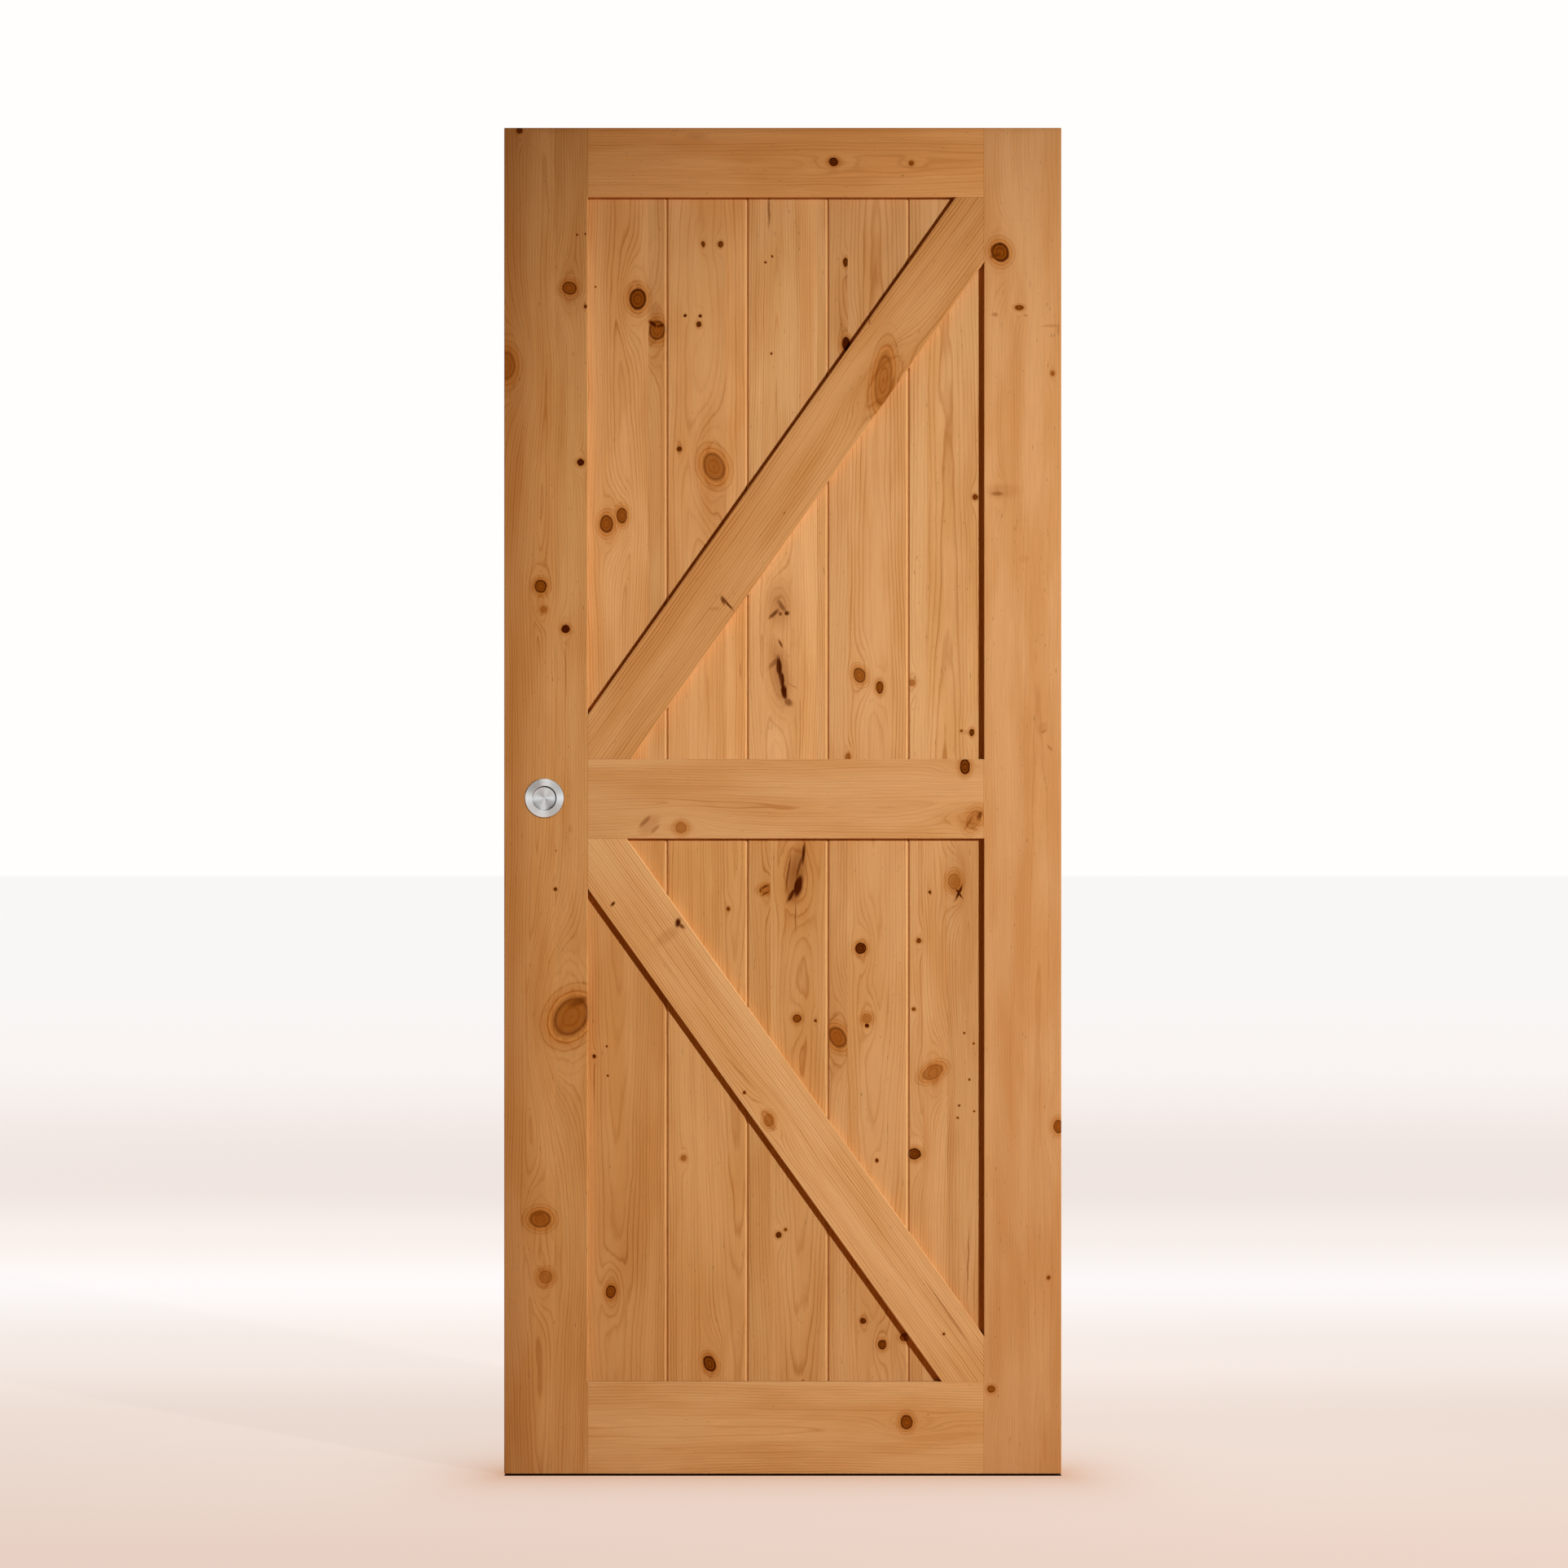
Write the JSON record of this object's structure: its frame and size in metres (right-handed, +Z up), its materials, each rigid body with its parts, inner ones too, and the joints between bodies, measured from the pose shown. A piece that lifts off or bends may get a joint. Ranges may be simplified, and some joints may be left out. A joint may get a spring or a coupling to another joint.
{
  "type": "barn door",
  "caption": "Knotty wooden sliding barn door leaf with framed tongue and groove planks, K braces and round flush pulls on both faces.",
  "frame": {"origin": "middle of the door's top edge, on the top face of the top rail", "axes": "+X to the right seen from the front, the front face looks along -Y, +Z is up"},
  "size_m": [0.914, 0.0478, 2.208],
  "materials": {
    "stile_wood": "satin",
    "rail_wood": "satin",
    "plank_wood": "satin",
    "brace_wood": "satin",
    "pull_steel": "satin"
  },
  "bodies": {
    "root": {"left_stile": "stile_wood", "right_stile": "stile_wood", "top_rail": "rail_wood", "mid_rail": "rail_wood", "bottom_rail": "rail_wood", "upper_plank_1": "plank_wood", "upper_plank_2": "plank_wood", "upper_plank_3": "plank_wood", "upper_plank_4": "plank_wood", "upper_plank_5": "plank_wood", "lower_plank_1": "plank_wood", "lower_plank_2": "plank_wood", "lower_plank_3": "plank_wood", "lower_plank_4": "plank_wood", "lower_plank_5": "plank_wood", "upper_brace_front": "brace_wood", "upper_brace_back": "brace_wood", "lower_brace_front": "brace_wood", "lower_brace_back": "brace_wood", "pull_front": "pull_steel", "pull_back": "pull_steel"}
  },
  "joints": []
}
